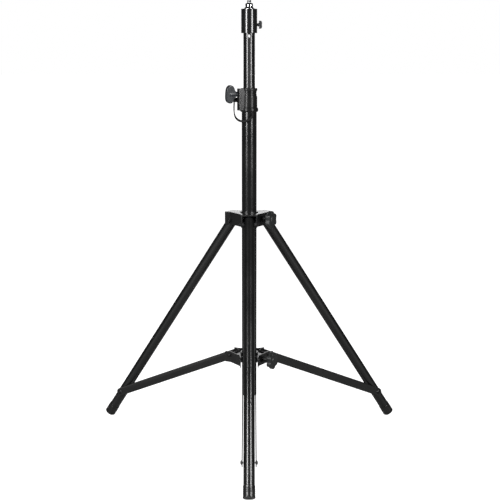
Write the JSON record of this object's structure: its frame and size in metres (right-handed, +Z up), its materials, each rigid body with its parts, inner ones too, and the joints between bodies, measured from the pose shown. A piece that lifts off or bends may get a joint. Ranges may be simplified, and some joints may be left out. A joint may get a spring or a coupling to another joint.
{
  "type": "telescopic lighting stand",
  "caption": "Telescopic lighting stand: a clamped tube mast with a safety pin and a lamp spigot, on a folding tripod of round legs with paired flat braces.",
  "frame": {"origin": "on the floor, at the middle of the box around the open stand; the mast stands 131 mm behind it", "axes": "+Z up along the mast, -Y along the front leg towards the viewer, +X to the right"},
  "size_m": [0.9476, 0.8252, 1.333],
  "materials": {
    "black_powder_coat": "satin black powder coat on steel",
    "black_gloss_tube": "smoother, glossier black powder coat on steel",
    "black_zinc": "black zinc plate",
    "black_nylon": "moulded black nylon",
    "natural_nylon": "natural nylon",
    "black_rubber": "black moulded rubber",
    "brass": "turned brass",
    "chrome": "bright chrome plate on steel"
  },
  "bodies": {
    "tripod_head": {"upper_bracket": "black_powder_coat", "leg_bolt_front": "black_zinc", "leg_nut_front": "black_zinc", "leg_spacer_front": "black_zinc", "leg_bolt_right": "black_zinc", "leg_nut_right": "black_zinc", "leg_spacer_right": "black_zinc", "leg_bolt_left": "black_zinc", "leg_nut_left": "black_zinc", "leg_spacer_left": "black_zinc"},
    "upper_clamp": {"upper_knob": "black_nylon", "upper_screw": "black_zinc"},
    "mast": {"outer_tube": "black_powder_coat", "mast_end_cap": "black_nylon", "guide_bush": "black_nylon", "clamp_collar": "black_powder_coat", "clamp_pad": "brass", "lanyard": "black_nylon"},
    "extension": {"inner_tube": "black_gloss_tube", "inner_tube_guide": "natural_nylon", "top_sleeve": "black_gloss_tube", "spigot": "chrome"},
    "collar_clamp": {"clamp_knob": "black_nylon", "clamp_screw": "black_zinc"},
    "pin": {"safety_pin": "black_zinc"},
    "spigot_screw": {"t_screw": "black_nylon"},
    "brace_runner": {"lower_bracket": "black_powder_coat", "brace_rivet_front": "black_zinc", "brace_spacer_front": "black_zinc", "brace_rivet_right": "black_zinc", "brace_spacer_right": "black_zinc", "brace_rivet_left": "black_zinc", "brace_spacer_left": "black_zinc"},
    "lower_clamp": {"lower_knob": "black_nylon", "lower_screw": "black_zinc"},
    "leg_front": {"leg_tube_front": "black_powder_coat", "leg_plug_front": "black_nylon", "foot_front": "black_rubber"},
    "brace_front": {"brace_bar_a_front": "black_powder_coat", "brace_bar_b_front": "black_powder_coat", "brace_stud_a_front": "black_zinc", "brace_stud_b_front": "black_zinc"},
    "leg_right": {"leg_tube_right": "black_powder_coat", "leg_plug_right": "black_nylon", "foot_right": "black_rubber"},
    "brace_right": {"brace_bar_a_right": "black_powder_coat", "brace_bar_b_right": "black_powder_coat", "brace_stud_a_right": "black_zinc", "brace_stud_b_right": "black_zinc"},
    "leg_left": {"leg_tube_left": "black_powder_coat", "leg_plug_left": "black_nylon", "foot_left": "black_rubber"},
    "brace_left": {"brace_bar_a_left": "black_powder_coat", "brace_bar_b_left": "black_powder_coat", "brace_stud_a_left": "black_zinc", "brace_stud_b_left": "black_zinc"}
  },
  "joints": [
    {"name": "mast_slide", "type": "slide", "parent": "tripod_head", "child": "mast", "axis": [0, 0, 1], "range_m": [-0.12, 0.08]},
    {"name": "extension_slide", "type": "slide", "parent": "mast", "child": "extension", "axis": [0, 0, 1], "range_m": [-0.159, 0.55]},
    {"name": "collar_knob_turn", "type": "hinge", "parent": "mast", "child": "collar_clamp", "pos_m": [-0.04532, 0.11017, 1.0604], "axis": [-0.9063, -0.4226, 0], "range_deg": [0, 720]},
    {"name": "pin_pull", "type": "slide", "parent": "mast", "child": "pin", "axis": [-0.9659, 0.2588, 0], "range_m": [0, 0.045]},
    {"name": "spigot_screw_turn", "type": "hinge", "parent": "extension", "child": "spigot_screw", "pos_m": [0.03, 0.1313, 1.262], "axis": [1, 0, 0], "range_deg": [0, 720]},
    {"name": "upper_knob_turn", "type": "hinge", "parent": "tripod_head", "child": "upper_clamp", "pos_m": [0.05196, 0.1013, 0.6905], "axis": [0.866, -0.5, 0], "range_deg": [0, 720]},
    {"name": "runner_slide", "type": "slide", "parent": "tripod_head", "child": "brace_runner", "axis": [0, 0, 1], "range_m": [0, 0.1455]},
    {"name": "lower_knob_turn", "type": "hinge", "parent": "brace_runner", "child": "lower_clamp", "pos_m": [0.05196, 0.1013, 0.26], "axis": [0.866, -0.5, 0], "range_deg": [0, 720]},
    {"name": "leg_front_fold", "type": "hinge", "parent": "tripod_head", "child": "leg_front", "pos_m": [0, 0.0728, 0.6798], "axis": [1, 0, 0], "range_deg": [0, 31]},
    {"name": "leg_right_fold", "type": "hinge", "parent": "tripod_head", "child": "leg_right", "pos_m": [0.05066, 0.16055, 0.6798], "axis": [-0.5, 0.866, 0], "range_deg": [0, 31.1]},
    {"name": "leg_left_fold", "type": "hinge", "parent": "tripod_head", "child": "leg_left", "pos_m": [-0.05066, 0.16055, 0.6798], "axis": [-0.5, -0.866, 0], "range_deg": [0, 31.1]},
    {"name": "brace_front_fold", "type": "hinge", "parent": "brace_runner", "child": "brace_front", "pos_m": [0, 0.0764, 0.265], "axis": [1, 0, 0], "range_deg": [0, 60.2]},
    {"name": "brace_right_fold", "type": "hinge", "parent": "brace_runner", "child": "brace_right", "pos_m": [0.04754, 0.15875, 0.265], "axis": [-0.5, 0.866, 0], "range_deg": [0, 60.2]},
    {"name": "brace_left_fold", "type": "hinge", "parent": "brace_runner", "child": "brace_left", "pos_m": [-0.04754, 0.15875, 0.265], "axis": [-0.5, -0.866, 0], "range_deg": [0, 60.2]}
  ],
  "couplings": [
    {"joint": "leg_right_fold", "follows": "leg_front_fold", "ratio": 1},
    {"joint": "leg_left_fold", "follows": "leg_front_fold", "ratio": 1},
    {"joint": "runner_slide", "follows": "leg_front_fold", "m_per_rad": 0.26871},
    {"joint": "brace_front_fold", "follows": "leg_front_fold", "ratio": 1.94},
    {"joint": "brace_right_fold", "follows": "leg_front_fold", "ratio": 1.94},
    {"joint": "brace_left_fold", "follows": "leg_front_fold", "ratio": 1.94}
  ]
}
